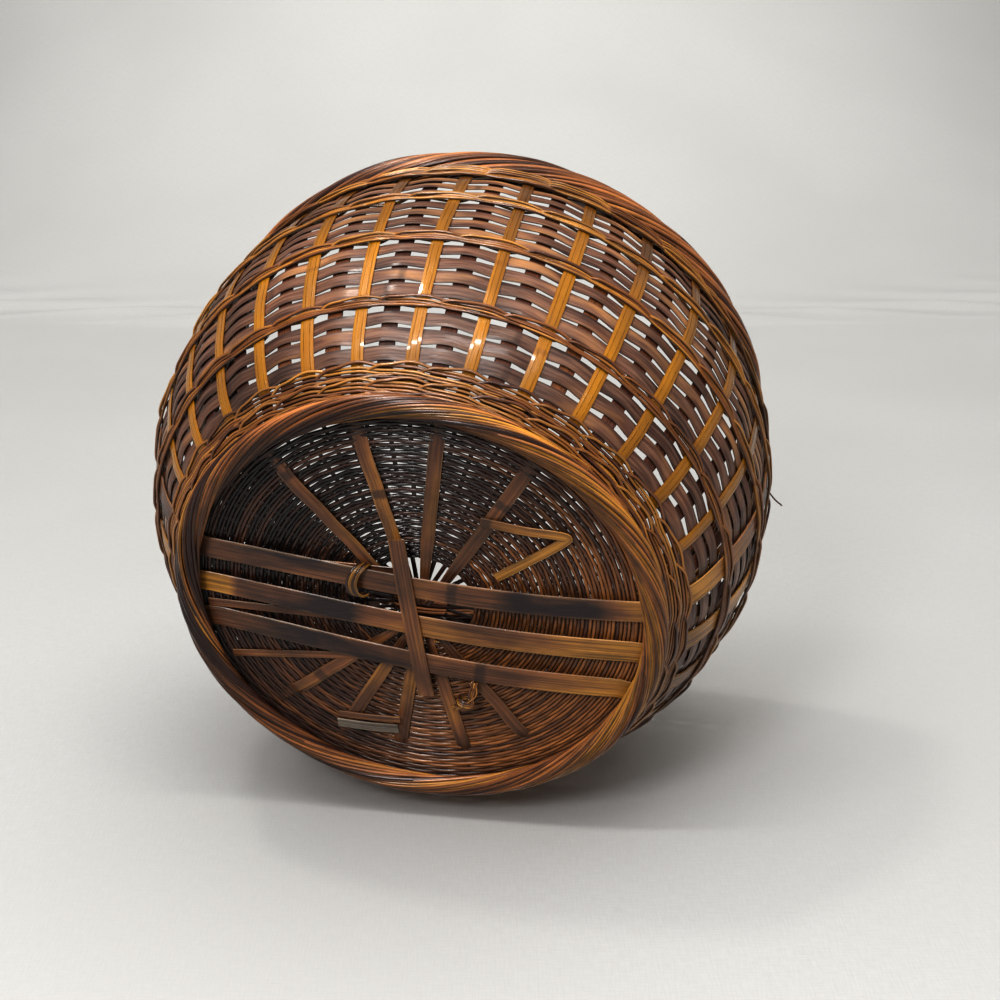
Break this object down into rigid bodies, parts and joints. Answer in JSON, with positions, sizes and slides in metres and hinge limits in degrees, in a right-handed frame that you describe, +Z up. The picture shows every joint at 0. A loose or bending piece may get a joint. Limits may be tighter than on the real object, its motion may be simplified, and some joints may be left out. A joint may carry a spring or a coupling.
{
  "type": "gathering basket",
  "caption": "Round woven bamboo gathering basket with a full belly, flat weavers over dark stakes, honey-coloured strips, cane bands and rolled borders at foot and rim.",
  "frame": {"origin": "centre of the foot ring on the ground, at the bottom of the basket's box", "axes": "+Z up out of the mouth; the wide splints climb the wall near +X+Y and -X-Y"},
  "size_m": [0.2993, 0.2993, 0.1801],
  "materials": {
    "stake_bamboo": "dark smoked bamboo, fibrous, low sheen",
    "weaver_bamboo": "dark mauve-brown stained bamboo, satin",
    "honey_bamboo": "honey-orange bamboo skin, glossy lacquer",
    "band_cane": "orange-brown cane, glossy",
    "border_cane": "dark red-brown cane, glossy",
    "splint_bamboo": "mottled brown bamboo, worn"
  },
  "bodies": {
    "root": {"base_mat": "splint_bamboo", "foot_border": "border_cane", "rim_border": "border_cane", "lower_band": "band_cane", "upper_band": "band_cane", "cross_splint": "splint_bamboo", "weaver_band_1_row_1": "weaver_bamboo", "weaver_band_1_row_2": "weaver_bamboo", "weaver_band_1_row_3": "weaver_bamboo", "weaver_band_2_row_1": "weaver_bamboo", "weaver_band_2_row_2": "weaver_bamboo", "weaver_band_2_row_3": "weaver_bamboo", "weaver_band_2_row_4": "weaver_bamboo", "weaver_band_3_row_1": "weaver_bamboo", "weaver_band_3_row_2": "weaver_bamboo", "weaver_band_3_row_3": "weaver_bamboo", "weaver_band_3_row_4": "weaver_bamboo", "weaver_band_4_row_1": "weaver_bamboo", "weaver_band_4_row_2": "weaver_bamboo", "weaver_band_4_row_3": "weaver_bamboo", "wale_1": "band_cane", "base_splint_1": "splint_bamboo", "wale_2": "band_cane", "base_splint_2": "splint_bamboo", "wale_3": "band_cane", "base_splint_3": "splint_bamboo", "stake_pair_01": "stake_bamboo", "stake_pair_02": "stake_bamboo", "stake_pair_03": "stake_bamboo", "stake_pair_04": "stake_bamboo", "stake_pair_05": "stake_bamboo", "stake_pair_06": "stake_bamboo", "stake_pair_07": "stake_bamboo", "stake_pair_08": "stake_bamboo", "stake_pair_09": "stake_bamboo", "stake_pair_10": "stake_bamboo", "stake_pair_11": "stake_bamboo", "stake_pair_12": "stake_bamboo", "stake_pair_13": "stake_bamboo", "stake_pair_14": "stake_bamboo", "stake_pair_15": "stake_bamboo", "honey_strip_01": "honey_bamboo", "honey_strip_02": "honey_bamboo", "honey_strip_03": "honey_bamboo", "honey_strip_04": "honey_bamboo", "honey_strip_05": "honey_bamboo", "honey_strip_06": "honey_bamboo", "honey_strip_07": "honey_bamboo", "honey_strip_08": "honey_bamboo", "honey_strip_09": "honey_bamboo", "honey_strip_10": "honey_bamboo", "honey_strip_11": "honey_bamboo", "honey_strip_12": "honey_bamboo", "honey_strip_13": "honey_bamboo"}
  },
  "joints": []
}
